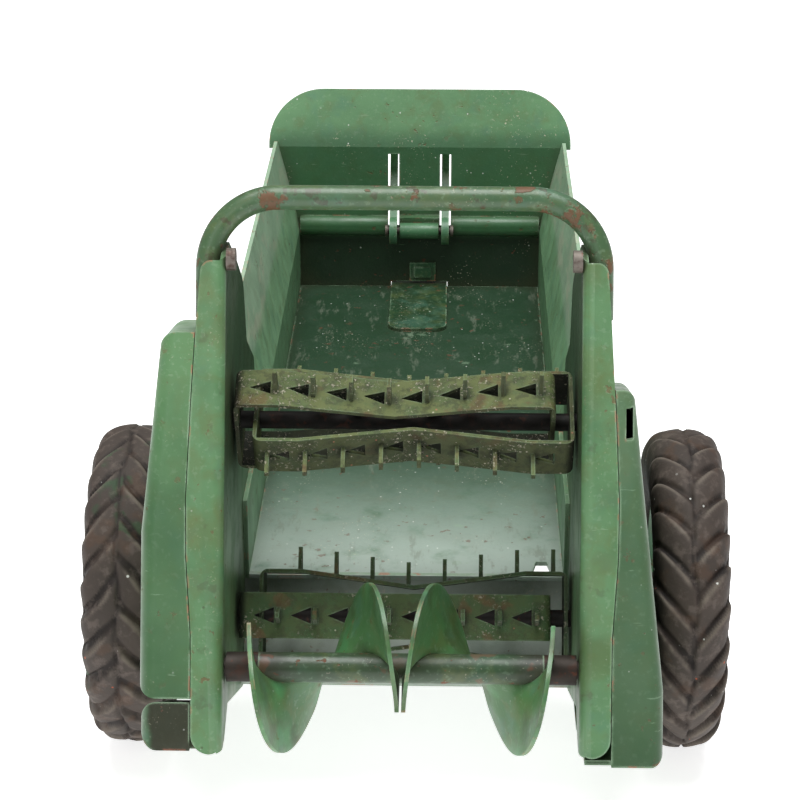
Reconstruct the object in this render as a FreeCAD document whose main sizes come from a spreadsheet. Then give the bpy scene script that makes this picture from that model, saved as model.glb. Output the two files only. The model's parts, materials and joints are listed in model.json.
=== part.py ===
"""Toy manure spreader of pressed sheet steel, 1/16 size, on two rubber-tyred wheels.

Millimetres. +Z is up and +Y is the way the spreader is towed, so the tongue is at +Y and the
beaters are at -Y. Every piece is drawn with the axle above the origin, and is then moved along Y
by axle_y, which puts the origin on the ground under the middle of the whole spreader.
"""
import FreeCAD, Part
import Sketcher
import math
import os
import re

SIZES = {
    # wheels and axle
    "tyre_radius": 33.5,
    "tyre_width": 15.6,
    "track_half": 57.4,
    "rim_radius": 19.0,
    "rim_width": 11.0,
    "axle_radius": 2.0,
    "axle_half": 63.6,
    "hub_radius": 4.4,
    "hub_half": 4.4,
    "running_gap": 0.05,
    "end_gap": 0.35,
    "axle_y": -80.067,
    # box
    "sheet_metal": 0.9,
    "floor_half": 32.1,
    "floor_top": 42.9,
    "floor_rear": -14.6,
    "board_y": 159.4,
    "bend_low": 59.5,
    "bend_high": 75.0,
    "rim_top": 83.3,
    "flare_rear": 22.0,
    "flare_high": 3.5,
    "flare_rim": 5.6,
    "board_ledge": 62.2,
    "board_bend": 81.2,
    "board_top": 96.0,
    "board_half": 40.0,
    "board_lean": 6.5,
    "bead_low": 57.5,
    "bead_high": 62.8,
    "bead_deep": 2.4,
    "slot_x": 6.9,
    "slot_width": 2.9,
    # end frames
    "frame_half": 33.0,
    "frame_sheet": 1.1,
    "frame_bend": 2.2,
    "lean_angle": 22.64,
    "lean_y": -69.8,
    "lean_z": 33.4,
    "lean_length": 91.45,
    "arch_radius": 2.3,
    "arch_half": 36.6,
    "arch_corner": 13.0,
    "arch_rise": 12.0,
    "lug_radius": 2.1,
    "lug_deep": 1.7,
    # rotors
    "upper_y": -28.4,
    "upper_z": 83.2,
    "lower_y": -28.7,
    "lower_z": 40.9,
    "spread_y": -59.0,
    "spread_z": 46.0,
    "shaft_radius": 1.7,
    "loop_width": 9.0,
    "loop_length": 61.0,
    "loop_side": 1.8,
    "loop_radius": 9.2,
    "loop_kink": 3.0,
    "loop_sheet": 0.8,
    "tooth_length": 4.5,
    "tooth_pitch": 7.2,
    "tooth_sheet": 0.8,
    "tube_radius": 2.8,
    "tube_half": 26.6,
    "paddle_radius": 15.9,
    "paddle_sheet": 0.8,
    "pan_radius": 14.5,
    # drive
    "pulley_width": 3.0,
    "axle_pulley": 8.0,
    "beater_pulley": 6.0,
    "spread_pulley": 2.7,
    "belt_radius": 0.6,
    "belt_groove": 0.7,
    "pulley_x": 37.0,
    # covers
    "cover_outer": 48.6,
    "cover_sheet": 0.9,
    "cover_round": 3.2,
    "cover_round_right": 2.4,
    "cover_gap": 0.15,
    # tongue and levers
    "tongue_half": 7.5,
    "tongue_front": 236.0,
    "hitch_radius": 3.5,
    "tongue_web": 1.2,
    "lever_pivot_y": 155.4,
    "lever_pivot_z": 60.0,
    "lever_sheet": 2.0,
    "pin_radius": 1.0,
    "eye_radius": 3.6,
}

doc = FreeCAD.newDocument("manure_spreader")
sheet = doc.addObject("Spreadsheet::Sheet", "Sizes")
for row, (alias, amount) in enumerate(SIZES.items(), start=1):
    sheet.set(f"A{row}", alias)
    sheet.set(f"B{row}", str(amount))
    sheet.setAlias(f"B{row}", alias)
doc.recompute()

X_AXIS = FreeCAD.Vector(1, 0, 0)
Y_AXIS = FreeCAD.Vector(0, 1, 0)
ACROSS = FreeCAD.Rotation(Y_AXIS, 90)
PREFIX = {alias: "Sizes." for alias in SIZES}
subparts = []


def size(alias):
    """A driving dimension, read from the sheet."""
    return float(sheet.get(alias))


def bound(text):
    """An expression over the sheet's cells, from words that are their aliases."""
    return re.sub(r"[a-z][a-z_]+", lambda word: PREFIX.get(word.group(), "") + word.group(), str(text))


def at(x, y, z):
    return FreeCAD.Vector(x, y, z)


def keep(piece, label, where=("0", "0", "0"), turn=FreeCAD.Rotation()):
    """Name a finished sub-part and place it; where is measured from the ground under the axle."""
    piece.Label = label
    piece.Placement = FreeCAD.Placement(at(0, 0, 0), turn)
    for key, text, shift in zip("xyz", where, ("0", "axle_y", "0")):
        piece.setExpression(f"Placement.Base.{key}", bound(f"{text} + {shift}"))
    subparts.append(piece)
    return piece


# ---------------------------------------------------------------- sketches and features

def new_body(name):
    return doc.addObject("PartDesign::Body", name)


def sketch_on(body, role, away="0", name="Sketch"):
    """A sketch on one of the body's own origin planes, moved off it by the expression away."""
    sketch = body.newObject("Sketcher::SketchObject", name)
    plane = next(part for part in body.Origin.OriginFeatures if part.Role == role)
    sketch.AttachmentSupport = [(plane, "")]
    sketch.MapMode = "FlatFace"
    if away != "0":
        sketch.setExpression("AttachmentOffset.Base.z", bound(away))
    return sketch


def pin_point(sketch, geometry, end, x, y):
    """Tie one end of a sketch line to the sheet by its two coordinates."""
    for kind, text in (("DistanceX", x), ("DistanceY", y)):
        number = sketch.addConstraint(Sketcher.Constraint(kind, -1, 1, geometry, end, 0.0))
        sketch.setExpression(f"Constraints[{number}]", bound(text))


def polygon(sketch, corners):
    """A closed chain of lines, each corner given by two expressions."""
    first = sketch.GeometryCount
    count = len(corners)
    guess = [at(math.cos(2 * math.pi * k / count), math.sin(2 * math.pi * k / count), 0)
             for k in range(count)]
    for k in range(count):
        sketch.addGeometry(Part.LineSegment(guess[k], guess[(k + 1) % count]), False)
    for k in range(count):
        follower = first + (k + 1) % count
        sketch.addConstraint(Sketcher.Constraint("Coincident", first + k, 2, follower, 1))
    for k, (x, y) in enumerate(corners):
        pin_point(sketch, first + k, 1, x, y)
    return sketch


def ring(sketch, x, y, radius):
    """A circle whose centre and radius are expressions."""
    index = sketch.addGeometry(Part.Circle(at(0, 0, 0), at(0, 0, 1), 1.0), False)
    pin_point(sketch, index, 3, x, y)
    number = sketch.addConstraint(Sketcher.Constraint("Radius", index, 1.0))
    sketch.setExpression(f"Constraints[{number}]", bound(radius))
    return sketch


def pad(body, sketch, length, symmetric=False, back=False):
    feature = body.newObject("PartDesign::Pad", "Pad")
    feature.Profile = sketch
    feature.SideType = "Symmetric" if symmetric else "One side"
    feature.Reversed = back
    feature.setExpression("Length", bound(length))
    doc.recompute()
    return feature


def pocket(body, sketch):
    """Cut the sketch right through the body, both ways, and make sure that it cut something."""
    before = body.Shape.Volume
    feature = body.newObject("PartDesign::Pocket", "Pocket")
    feature.Profile = sketch
    feature.Type = "ThroughAll"
    feature.SideType = "Symmetric"
    doc.recompute()
    if body.Shape.Volume > before - 1e-3:
        raise RuntimeError(f"{body.Label}: a pocket cut nothing")
    return feature


def spin(body, sketch, role):
    """Turn a sketch all the way round one of the body's own axes."""
    feature = body.newObject("PartDesign::Revolution", "Revolution")
    feature.Profile = sketch
    axis = next(part for part in body.Origin.OriginFeatures if part.Role == role)
    feature.ReferenceAxis = (axis, [""])
    feature.Angle = 360
    doc.recompute()
    return feature


def soften(body, feature, radius, chosen):
    """Fillet the edges of a feature for which chosen(edge) is true."""
    names = [f"Edge{k}" for k, edge in enumerate(feature.Shape.Edges, start=1) if chosen(edge)]
    fillet = body.newObject("PartDesign::Fillet", "Fillet")
    fillet.Base = (feature, names)
    fillet.setExpression("Radius", bound(radius))
    doc.recompute()
    return fillet


def along(edge, axis):
    """True for a straight edge that runs along an axis."""
    if edge.Curve.TypeId != "Part::GeomLine":
        return False
    return abs(abs(edge.Curve.Direction.dot(axis)) - 1) < 1e-6


def near(edge, axis, place, reach=0.3):
    """True for a straight edge along an axis that passes close to a place."""
    if not along(edge, axis):
        return False
    gap = edge.CenterOfMass - place
    return (gap - axis * gap.dot(axis)).Length < reach


def cylinder(radius, length, start=None):
    """A plain cylinder, turned along +X and moved to x = start unless keep() will place it."""
    piece = doc.addObject("Part::Cylinder", "Cylinder")
    piece.setExpression("Radius", bound(radius))
    piece.setExpression("Height", bound(length))
    if start is not None:
        piece.Placement = FreeCAD.Placement(at(0, 0, 0), ACROSS)
        piece.setExpression("Placement.Base.x", bound(start))
    return piece


def block(low, high):
    """A plain box between two corners, each given by three expressions."""
    piece = doc.addObject("Part::Box", "Block")
    for key, side, start, end in zip("xyz", ("Length", "Width", "Height"), low, high):
        piece.setExpression(side, bound(f"({end}) - ({start})"))
        piece.setExpression(f"Placement.Base.{key}", bound(start))
    return piece


def sleeve(name, outer, inner, start, length):
    """A tube along X."""
    bore = cylinder(inner, f"{length} + 2", f"{start} - 1")
    return cut(name, cylinder(outer, length, start), bore)


def joined(name, pieces):
    fuse = doc.addObject("Part::MultiFuse", name)
    fuse.Shapes = pieces
    doc.recompute()
    return fuse


def cut(name, base, tool):
    piece = doc.addObject("Part::Cut", name)
    piece.Base = base
    piece.Tool = tool
    doc.recompute()
    return piece


def shaped(name, shape, label, where=("0", "0", "0"), turn=FreeCAD.Rotation()):
    """A sub-part whose shape is made by Part's own functions."""
    piece = doc.addObject("Part::Feature", name)
    piece.Shape = shape
    return keep(piece, label, where, turn)


# ---------------------------------------------------------------- box

def floor():
    """Flat floor with two small trapezoid holes by the right-hand wall at its rear end."""
    body = new_body("Floor")
    outline = polygon(sketch_on(body, "XY_Plane", "floor_top"), [
        ("-floor_half", "floor_rear"), ("floor_half", "floor_rear"),
        ("floor_half", "board_y"), ("-floor_half", "board_y")])
    pad(body, outline, "sheet_metal", back=True)
    holes = sketch_on(body, "XY_Plane")
    polygon(holes, [("floor_half - 6.4", "floor_rear + 1.8"), ("floor_half - 2.2", "floor_rear + 1.8"),
                    ("floor_half - 3.2", "floor_rear + 7"), ("floor_half - 5.4", "floor_rear + 7")])
    pocket(body, holes)
    keep(body, "box_floor")


def wall(side, label):
    """Side wall: upright beside the floor, then flared, with a steeper rim and a rounded front."""
    body = new_body(label)
    sign = "-" if side < 0 else ""
    profile = [("floor_half", "floor_top - sheet_metal"),
               ("floor_half + sheet_metal", "floor_top - sheet_metal"),
               ("floor_half + sheet_metal", "bend_low"),
               ("floor_half + sheet_metal + flare_high", "bend_high"),
               ("floor_half + sheet_metal + flare_rim", "rim_top"),
               ("floor_half + flare_rim", "rim_top"),
               ("floor_half + flare_high", "bend_high"),
               ("floor_half", "bend_low")]
    sketch = polygon(sketch_on(body, "XZ_Plane", "0 - board_y"),
                     [(f"{sign}({x})", z) for x, z in profile])
    pad(body, sketch, "board_y - floor_rear")
    trim = polygon(sketch_on(body, "YZ_Plane"), [
        ("floor_rear - 1", "bend_low"), ("flare_rear", "bend_low"),
        ("flare_rear", "rim_top + 1"), ("floor_rear - 1", "rim_top + 1")])
    feature = pocket(body, trim)
    corner = at(side * size("floor_half"), size("flare_rear"), size("rim_top"))
    soften(body, feature, "3", lambda edge: abs(edge.CenterOfMass.z - corner.z) < 0.01
           and abs(edge.CenterOfMass.y - corner.y) < 0.01)
    keep(body, label)


def front_board():
    """Front board: upright at the bottom, a ledge, then two bends that lean its top forwards."""
    body = new_body("FrontBoard")
    profile = [("board_y", "floor_top - sheet_metal"),
               ("board_y + sheet_metal", "floor_top - sheet_metal"),
               ("board_y + sheet_metal", "board_ledge"),
               ("board_y + sheet_metal + 0.8", "board_bend"),
               ("board_y + sheet_metal + board_lean", "board_top - 0.3"),
               ("board_y + board_lean", "board_top"),
               ("board_y + 0.8", "board_bend + 0.5"),
               ("board_y", "board_ledge")]
    strip = pad(body, polygon(sketch_on(body, "YZ_Plane"), profile), "2 * board_half", symmetric=True)
    soften(body, strip, "14.5", lambda edge: abs(edge.CenterOfMass.z - size("board_top")) < 0.5
           and abs(abs(edge.CenterOfMass.x) - size("board_half")) < 0.01 and edge.Length < 2)
    notch = sketch_on(body, "XZ_Plane")
    for sign in ("-", ""):
        low = f"{sign}(floor_half + sheet_metal)"
        wide = f"{sign}(board_half + 1)"
        polygon(notch, [(low, "floor_top - 3"), (wide, "floor_top - 3"), (wide, "board_bend"),
                        (f"{sign}(floor_half + sheet_metal + 5)", "board_bend"),
                        (f"{sign}(floor_half + sheet_metal + flare_high)", "bend_high"),
                        (low, "bend_low")])
    pocket(body, notch)
    slots = sketch_on(body, "XZ_Plane")
    for sign in ("-", ""):
        inner = f"{sign}(slot_x - slot_width / 2)"
        outer = f"{sign}(slot_x + slot_width / 2)"
        polygon(slots, [(inner, "lever_pivot_z"), (outer, "lever_pivot_z"),
                        (outer, "board_bend - 1.4"), (inner, "board_bend - 1.4")])
    pocket(body, slots)
    mouth = sketch_on(body, "XZ_Plane")
    polygon(mouth, [("0 - tongue_half - 0.1", "floor_top - 3"), ("tongue_half + 0.1", "floor_top - 3"),
                    ("tongue_half + 0.1", "floor_top + 1.3"), ("0 - tongue_half - 0.1", "floor_top + 1.3")])
    pocket(body, mouth)
    keep(joined("BoardPressing", [body, board_bead()]), "front_board")


def board_bead():
    """Half-round rib across the inside of the board, cut away where the lever eyes sit."""
    body = new_body("BoardBead")
    inner = "slot_x + lever_sheet / 2 + 0.5"
    ribs = sketch_on(body, "XZ_Plane", "0 - board_y")
    for left, right in ((inner, "floor_half - 0.2"), ("0.2 - floor_half", f"0 - ({inner})")):
        polygon(ribs, [(left, "bead_low"), (right, "bead_low"), (right, "bead_high"), (left, "bead_high")])
    rib = pad(body, ribs, "bead_deep")
    soften(body, rib, "bead_deep - 0.2", lambda edge: along(edge, X_AXIS)
           and edge.CenterOfMass.y < size("board_y") - 0.5)
    lip = sketch_on(body, "XZ_Plane", "0 - board_y")
    edge_x = "slot_x - lever_sheet / 2 - 0.5"
    polygon(lip, [(f"0 - ({edge_x})", "bead_high - 1.2"), (edge_x, "bead_high - 1.2"),
                  (edge_x, "bead_high + 0.3"), (f"0 - ({edge_x})", "bead_high + 0.3")])
    pad(body, lip, "bead_deep")
    return body


def beater_pan():
    """Curved lip under the lower beater that carries the floor on round it."""
    radius = size("pan_radius")
    thick = size("sheet_metal")
    start = math.asin((size("floor_top") - size("lower_z")) / radius)
    end = math.radians(-92)
    middle = (start + end) / 2

    def arc(r):
        points = [at(-size("frame_half"), size("lower_y") + r * math.cos(a), size("lower_z") + r * math.sin(a))
                  for a in (start, middle, end)]
        return Part.Arc(*points).toShape()

    inner = arc(radius)
    outer = arc(radius + thick)
    ends = [Part.LineSegment(inner.Vertexes[k].Point, outer.Vertexes[k].Point).toShape() for k in (0, 1)]
    face = Part.Face(Part.Wire(Part.__sortEdges__([inner, ends[1], outer, ends[0]])))
    shape = face.extrude(at(2 * size("frame_half"), 0, 0))
    floor_end = Part.makeBox(2 * size("floor_half"), 4, thick,
                             at(-size("floor_half"), size("floor_rear"), size("floor_top") - thick))
    shaped("BeaterPan", shape.cut(floor_end), "beater_pan")


# ---------------------------------------------------------------- end frames

def lean_turn():
    """Turn of the plane in which the end frames' rear flanges and the arch lie."""
    return FreeCAD.Rotation(X_AXIS, -size("lean_angle"))


def side_plate(side, name):
    """Flat side plate of an end frame, bored for the axle and the three rotor shafts."""
    body = new_body(name)
    away = "frame_half" if side > 0 else "0 - frame_half - frame_sheet"
    profile = polygon(sketch_on(body, "YZ_Plane", away), [
        ("lean_y", "lean_z"),
        ("lean_y + lean_length * sin(lean_angle)", "lean_z + lean_length * cos(lean_angle)"),
        ("-27", "118.8"), ("-12.6", "110"), ("-0.2", "101.5"), ("3.4", "87.3"), ("19.8", "77"),
        ("flare_rear - 0.4", "bend_low - 0.3"), ("52", "bend_low - 0.3"),
        ("52", "floor_top - sheet_metal"), ("14", "floor_top - sheet_metal"), ("14", "29"),
        ("6", "22.5"), ("-24.4", "22.5"), ("-56", "36.5"), ("-64", "lean_z")])
    plate = pad(body, profile, "frame_sheet")
    plate = soften(body, plate, "4", lambda edge: any(
        near(edge, X_AXIS, at(0, y, z)) for y, z in ((14, 29), (6, 22.5), (3.4, 87.3), (19.8, 77))))
    plate = soften(body, plate, "12", lambda edge: any(
        near(edge, X_AXIS, at(0, y, z)) for y, z in ((-24.4, 22.5), (-0.2, 101.5))))
    bores = sketch_on(body, "YZ_Plane")
    ring(bores, "0", "tyre_radius", "axle_radius + running_gap")
    for axis in ("upper", "lower", "spread"):
        ring(bores, f"{axis}_y", f"{axis}_z", "shaft_radius + running_gap")
    pocket(body, bores)
    return body


def flange_outline(side, gap, reach):
    """Outline of a rear flange, grown outwards by gap and lengthened at both ends by reach."""
    sign = "" if side > 0 else "-"
    foot = f"0 - {reach}"
    head = f"lean_length + {reach}"
    widths = [("5.8", foot), ("5.9", "lean_length * 0.24"), ("6.9", "lean_length * 0.4"),
              ("7.0", "lean_length * 0.52"), ("6.2", "lean_length * 0.72"),
              ("5.4", "lean_length * 0.88"), ("4.6", head)]
    outline = [(f"{sign}(frame_half)", head), (f"{sign}(frame_half)", foot)]
    return outline + [(f"{sign}(frame_half + {width} + {gap})", height) for width, height in widths]


def rear_flange(side, name):
    """Rear flange of an end frame, a swelling strip in the leaning plane with a rounded foot."""
    body = new_body(name)
    outline = flange_outline(side, "0", "0")
    strip = pad(body, polygon(sketch_on(body, "XZ_Plane"), outline), "frame_sheet", back=True)
    outer = side * (size("frame_half") + 5.8)
    strip = soften(body, strip, "3.6", lambda edge: near(edge, Y_AXIS, at(outer, 0, 0)))
    strip = soften(body, strip, "2.4", lambda edge: near(edge, Y_AXIS, at(side * size("frame_half"), 0, 0)))
    top = at(side * (size("frame_half") + 4.6), 0, size("lean_length"))
    soften(body, strip, "2", lambda edge: near(edge, Y_AXIS, top))
    return leaned(body)


def end_frame(side, label):
    """One end frame: its side plate and its rear flange, pressed from one sheet."""
    plate = side_plate(side, label + "_plate")
    flange = rear_flange(side, label + "_flange")
    sharp = joined(label + "_sharp", [plate, flange])
    keep(cut(label + "_bent", sharp, bend_tool(side)), label)


def bend_tool(side):
    """What rounds the bend between a side plate and its flange: a corner block less a cylinder."""
    block_x = "frame_half - 1" if side > 0 else "0 - frame_half - frame_bend"
    corner = block((block_x, "0 - 1", "0 - 1"),
                   (f"{block_x} + 1 + frame_bend", "frame_bend", "lean_length + 1"))
    roll = doc.addObject("Part::Cylinder", "Roll")
    roll.setExpression("Radius", bound("frame_bend"))
    roll.setExpression("Height", bound("lean_length + 4"))
    centre = (f"{side} * (frame_half + frame_bend)", "frame_bend", "0 - 2")
    for key, text in zip("xyz", centre):
        roll.setExpression(f"Placement.Base.{key}", bound(text))
    return leaned(cut("BendTool", corner, roll))


def leaned(piece):
    """Move a piece drawn upright into the leaning plane."""
    piece.Placement = FreeCAD.Placement(at(0, 0, 0), lean_turn())
    piece.setExpression("Placement.Base.y", bound("lean_y"))
    piece.setExpression("Placement.Base.z", bound("lean_z"))
    return piece


def arch():
    """Round rod bent into an arch over the beaters, its feet flattened on the end frames."""
    half = size("arch_half")
    corner = size("arch_corner")
    foot = size("lean_length") - 10.4
    top = size("lean_length") + size("arch_rise")
    setback = size("frame_sheet") + size("arch_radius") + 0.05
    bend = corner * (1 - math.sqrt(0.5))
    points = [at(-half, setback, foot), at(-half, setback, top - corner),
              at(-half + bend, setback, top - bend), at(-half + corner, setback, top)]
    mirror = [at(-p.x, p.y, p.z) for p in reversed(points)]
    edges = [Part.LineSegment(points[0], points[1]).toShape(),
             Part.Arc(points[1], points[2], points[3]).toShape(),
             Part.LineSegment(points[3], mirror[0]).toShape(),
             Part.Arc(mirror[0], mirror[1], mirror[2]).toShape(),
             Part.LineSegment(mirror[2], mirror[3]).toShape()]
    path = Part.Wire(edges)
    round_end = Part.Wire(Part.makeCircle(size("arch_radius"), points[0], at(0, 0, 1)))
    rod = path.makePipeShell([round_end], True, False)
    shaped("ArchRod", rod, "arch_rod", ("0", "lean_y", "lean_z"), lean_turn())
    lugs = doc.addObject("Part::Compound", "ArchLugs")
    lugs.Links = [cylinder("lug_radius", "lug_deep", start)
                  for start in ("frame_half - lug_deep", "0 - frame_half")]
    corner = ("0", "lean_y + lean_length * sin(lean_angle) + 1.8", "lean_z + lean_length * cos(lean_angle) - 0.4")
    keep(lugs, "arch_lugs", corner)


# ---------------------------------------------------------------- rotors

def rotor(axis):
    """Centre of a rotor's shaft."""
    return ("0", f"{axis}_y", f"{axis}_z")


def beater_loop(name, label, axis, side, turn):
    """A strip bent into a closed kinked loop, punched with triangles whose metal is its teeth."""
    body = new_body(name)
    shift = f"{side} * loop_side"
    half = "loop_length / 2"
    run = [(f"0 - {half}", "0"), ("0 - 22", "0"), ("0", "loop_kink"), ("22", "0"), (half, "0")]

    def rail(inset, sign):
        trim = {0: f" + {inset}", 4: f" - {inset}"}
        return [(f"{shift} + ({x}){trim.get(k, '')}", f"{sign}(loop_radius - {inset} - ({kink}))")
                for k, (x, kink) in enumerate(run)]

    strip = sketch_on(body, "XZ_Plane")
    for inset in ("0", "loop_sheet"):
        polygon(strip, rail(inset, "-") + list(reversed(rail(inset, ""))))
    frame = pad(body, strip, "loop_width", symmetric=True)
    far = size("loop_length") / 2
    frame = soften(body, frame, "1.8", lambda edge: along(edge, Y_AXIS)
                   and abs(abs(edge.CenterOfMass.x - side * size("loop_side")) - far) < 0.01)

    rows = [(k - 3.5) for k in range(8)]
    teeth = sketch_on(body, "XZ_Plane")
    for sign, drift in (("", 1), ("-", -1)):
        for row in rows:
            x = f"{shift} + ({row + 0.35 * drift}) * tooth_pitch"
            away = abs((row + 0.35 * drift) * size("tooth_pitch"))
            dip = f"loop_kink * {max(0.0, 1 - away / 22):.3f}"
            low = f"{sign}(loop_radius - loop_sheet / 2 - {dip})"
            high = f"{sign}(loop_radius + tooth_length - {dip})"
            polygon(teeth, [(f"{x} - tooth_sheet / 2", low), (f"{x} + tooth_sheet / 2", low),
                            (f"{x} + tooth_sheet / 2", high), (f"{x} - tooth_sheet / 2", high)])
    pad(body, teeth, "3.2", symmetric=True)
    taper = sketch_on(body, "YZ_Plane")
    for up in ("", "-"):
        for across in ("", "-"):
            polygon(taper, [(f"{across}1.55", f"{up}(loop_radius + 0.05)"),
                            (f"{across}0.5", f"{up}(loop_radius + tooth_length + 0.1)"),
                            (f"{across}2.2", f"{up}(loop_radius + tooth_length + 0.1)"),
                            (f"{across}2.2", f"{up}(loop_radius + 0.05)")])
    pocket(body, taper)
    holes = sketch_on(body, "XY_Plane")
    for row in rows:
        x = f"{shift} + ({row}) * tooth_pitch"
        polygon(holes, [(f"{x} + 1.6", "-1.6"), (f"{x} + 1.6", "1.6"), (f"{x} - 2.4", "0")])
    pocket(body, holes)
    ends = ring(sketch_on(body, "YZ_Plane"), "0", "0", "shaft_radius")
    pocket(body, ends)
    keep(body, label, rotor(axis), FreeCAD.Rotation(X_AXIS, turn))


def paddle(name, label, start_x, end_x, lift, turn):
    """Half-moon blade wound on the tube; it turns faster near its first end than near its last."""
    root = size("tube_radius") - 0.15
    tip = size("paddle_radius")
    thick = size("paddle_sheet")
    sections = []
    steps = 14
    for k in range(steps + 1):
        v = k / steps
        angle = math.radians(turn + lift * (-45 + 225 * v ** 0.6))
        x = start_x + (end_x - start_x) * v
        ramp = min(1.0, 0.66 + 0.34 * v / 0.16, 0.45 + 0.55 * (1 - v) / 0.2)
        reach = root + (tip - root) * ramp
        out = at(0, math.cos(angle), math.sin(angle))
        side = X_AXIS * (thick / 2)
        base = X_AXIS * x
        corners = [base + out * root - side, base + out * reach - side,
                   base + out * reach + side, base + out * root + side]
        sections.append(Part.makePolygon(corners + corners[:1]))
    blade = Part.makeLoft(sections, True, False)
    core = Part.makeCylinder(size("tube_radius"), 80, at(-40, 0, 0), X_AXIS)
    shaped(name, blade.cut(core), label, rotor("spread"))


def rotor_shaft(label, axis, left, right):
    shaft = cylinder("shaft_radius", f"{left} + {right}")
    keep(shaft, label, (f"0 - ({left})", f"{axis}_y", f"{axis}_z"), ACROSS)


def spread_tube():
    """Tube of the widespread, bored to slide over its shaft, with plain steel collars outside it."""
    tube = sleeve("SpreadTube", "tube_radius", "shaft_radius", "0 - tube_half", "2 * tube_half")
    keep(tube, "widespread_tube", rotor("spread"))
    length = "frame_half - tube_half - end_gap"
    for start, word in (("end_gap - frame_half", "left"), ("tube_half", "right")):
        collar = sleeve("SpreadCollar", "tube_radius", "shaft_radius", start, length)
        keep(collar, f"widespread_collar_{word}", rotor("spread"))


def pulley(label, radius, lip, bore, x, where):
    """Grooved pulley: a revolved section about the X axis."""
    body = new_body("Pulley")
    half = "pulley_width / 2"
    floor_width = "0.5"
    section = polygon(sketch_on(body, "XY_Plane"), [
        (f"{x} - {half}", bore), (f"{x} + {half}", bore), (f"{x} + {half}", f"{radius} + {lip}"),
        (f"{x} + {floor_width}", f"{radius} - belt_groove"),
        (f"{x} - {floor_width}", f"{radius} - belt_groove"),
        (f"{x} - {half}", f"{radius} + {lip}")])
    spin(body, section, "X_Axis")
    keep(body, label, where)


def belt(label, x, circles):
    """Round spring belt pulled tight round pulleys, listed in order round the belt's run."""
    edges = []
    count = len(circles)
    touches = []
    for k in range(count):
        (y0, z0, r0), (y1, z1, r1) = circles[k], circles[(k + 1) % count]
        heading = math.atan2(z1 - z0, y1 - y0)
        lead = math.acos((r0 - r1) / math.hypot(y1 - y0, z1 - z0))
        touches.append(heading - lead)
    for k in range(count):
        y, z, r = circles[k]
        start = touches[k - 1]
        end = touches[k]
        while end < start:
            end += 2 * math.pi
        arc = [at(x, y + r * math.cos(a), z + r * math.sin(a)) for a in (start, (start + end) / 2, end)]
        edges.append(Part.Arc(*arc).toShape())
        y1, z1, r1 = circles[(k + 1) % count]
        landing = at(x, y1 + r1 * math.cos(end), z1 + r1 * math.sin(end))
        edges.append(Part.LineSegment(arc[2], landing).toShape())
    path = Part.Wire(edges)
    tangent = edges[0].tangentAt(edges[0].FirstParameter)
    profile = Part.Wire(Part.makeCircle(size("belt_radius"), edges[0].Vertexes[0].Point, tangent))
    shaped("Belt", path.makePipeShell([profile], True, False), label)


def drive():
    """Pulleys and belts: axle to both beaters on the left, lower beater to widespread on the right."""
    left = "0 - pulley_x"
    hub = ("0", "0", "tyre_radius")
    pulley("axle_pulley", "axle_pulley", "0.9", "axle_radius", left, hub)
    pulley("upper_beater_pulley", "beater_pulley", "0.9", "shaft_radius", left, rotor("upper"))
    pulley("lower_beater_pulley_left", "beater_pulley", "0.9", "shaft_radius", left, rotor("lower"))
    pulley("lower_beater_pulley_right", "beater_pulley", "0.9", "shaft_radius", "pulley_x", rotor("lower"))
    pulley("widespread_pulley", "spread_pulley", "0.7", "shaft_radius", "pulley_x", rotor("spread"))
    axle = (0, size("tyre_radius"), size("axle_pulley"))
    upper, lower = [(size(f"{axis}_y"), size(f"{axis}_z"), size("beater_pulley"))
                    for axis in ("upper", "lower")]
    spread = (size("spread_y"), size("spread_z"), size("spread_pulley"))
    belt("drive_belt_left", -size("pulley_x"), [axle, upper, lower])
    belt("drive_belt_right", size("pulley_x"), [lower, spread])
    inner = "frame_half + frame_sheet + end_gap"
    washer = sleeve("UpperWasher", "3", "shaft_radius", inner, "0.8")
    keep(washer, "upper_beater_washer", rotor("upper"))
    washer = sleeve("SpreadWasher", "3", "shaft_radius", f"0 - ({inner}) - 0.8", "0.8")
    keep(washer, "widespread_washer", rotor("spread"))


# ---------------------------------------------------------------- covers

def cover(label, side, outer, outline, taper, rounding, bores):
    """Pressed cover over the drive on one side, open towards the end frame.

    outline goes round the cover in the YZ plane. taper is (low, high, inset): above the height low
    the outer face leans in, and at the height high it has come in by inset.
    """
    body = new_body(label)
    inner = "frame_half + frame_sheet"
    plane = inner if side > 0 else f"0 - {outer}"
    shell = pad(body, polygon(sketch_on(body, "YZ_Plane", plane), outline), f"{outer} - ({inner})")
    if taper:
        low, high, inset = taper
        sign = "" if side > 0 else "0 - "
        wedge = polygon(sketch_on(body, "XZ_Plane"), [
            (f"{sign}{outer}", low), (f"{sign}({outer} + 5)", low), (f"{sign}({outer} + 5)", high),
            (f"{sign}({outer} - {inset})", high)])
        shell = pocket(body, wedge)
    limit = size_of(inner) + 3
    crease = float(taper[0]) if taper else 0.0
    shell = soften(body, shell, rounding, lambda edge: min(
        abs(edge.BoundBox.XMin), abs(edge.BoundBox.XMax)) > limit
        and not (along(edge, Y_AXIS) and abs(edge.CenterOfMass.z - crease) < 0.01))
    open_face = max(((face.Area, f"Face{k}") for k, face in enumerate(shell.Shape.Faces, start=1)
                     if abs(face.CenterOfMass.x - side * size_of(inner)) < 0.01))[1]
    skin = body.newObject("PartDesign::Thickness", "Thickness")
    skin.Base = (shell, [open_face])
    skin.setExpression("Value", bound("cover_sheet"))
    skin.Reversed = True
    skin.Join = 0
    doc.recompute()
    if bores:
        holes = sketch_on(body, "YZ_Plane")
        for y, z, radius in bores:
            ring(holes, y, z, radius)
        pocket(body, holes)
    return body


def size_of(text):
    return float(sheet.evalExpression(bound(text)))


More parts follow.
